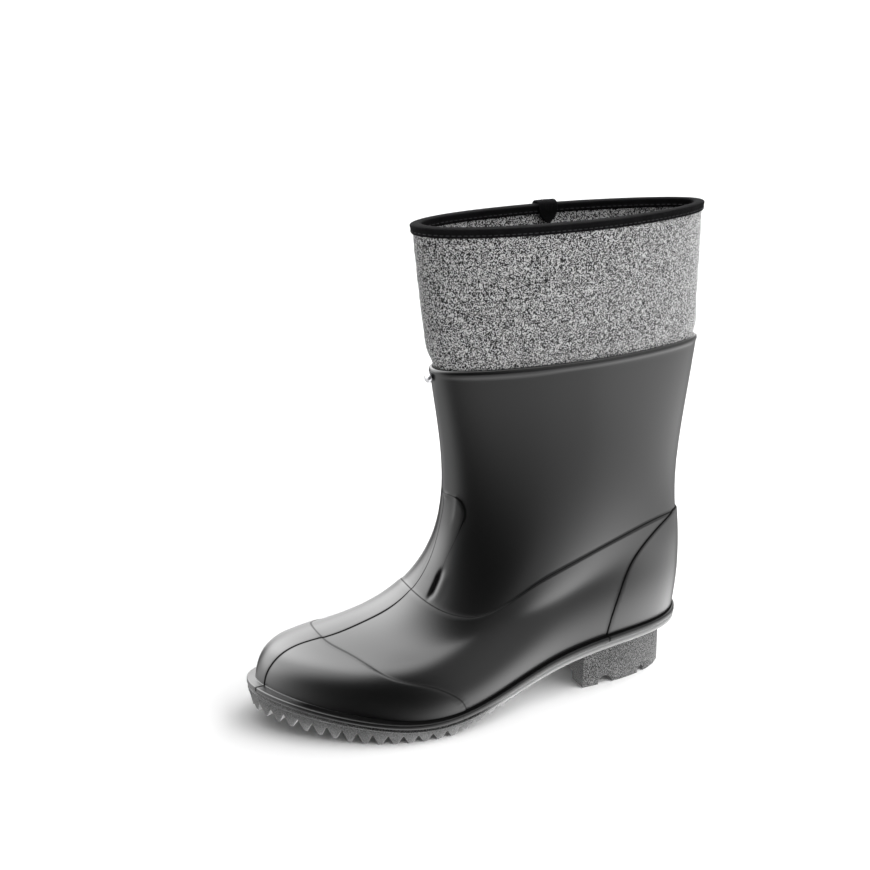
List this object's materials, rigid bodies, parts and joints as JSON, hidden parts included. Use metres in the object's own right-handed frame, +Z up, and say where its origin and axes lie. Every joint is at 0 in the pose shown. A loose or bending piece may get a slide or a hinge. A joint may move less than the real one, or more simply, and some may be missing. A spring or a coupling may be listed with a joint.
{
  "type": "felt-lined rubber boot",
  "caption": "Left mid-calf boot: moulded black rubber foot and shaft on a lugged sole, with a thick grey felt liner that stands above the rubber and ends in a bound collar.",
  "frame": {"origin": "middle of the boot's box, on the floor under it", "axes": "+X to the toe, +Y to the outer side of the left foot, +Z up"},
  "size_m": [0.3106, 0.11, 0.319],
  "materials": {
    "black_rubber": "semi-gloss black rubber, dipped and buffed",
    "sole_rubber": "matt black rubber with a fine stipple",
    "felt": "thick salt-and-pepper grey wool felt",
    "binding_tape": "black woven tape with one row of stitches",
    "steel": "bright round-headed stud"
  },
  "bodies": {
    "root": {"rubber_upper": "black_rubber", "toe_cap_lateral": "black_rubber", "toe_cap_medial": "black_rubber", "heel_counter": "black_rubber", "front_strip": "black_rubber", "ankle_patch_lateral": "black_rubber", "ankle_patch_medial": "black_rubber", "outsole": "sole_rubber", "heel_block": "sole_rubber", "felt_liner": "felt", "insole": "felt", "collar_binding": "binding_tape", "binding_join": "binding_tape", "front_rivet": "steel"}
  },
  "joints": []
}
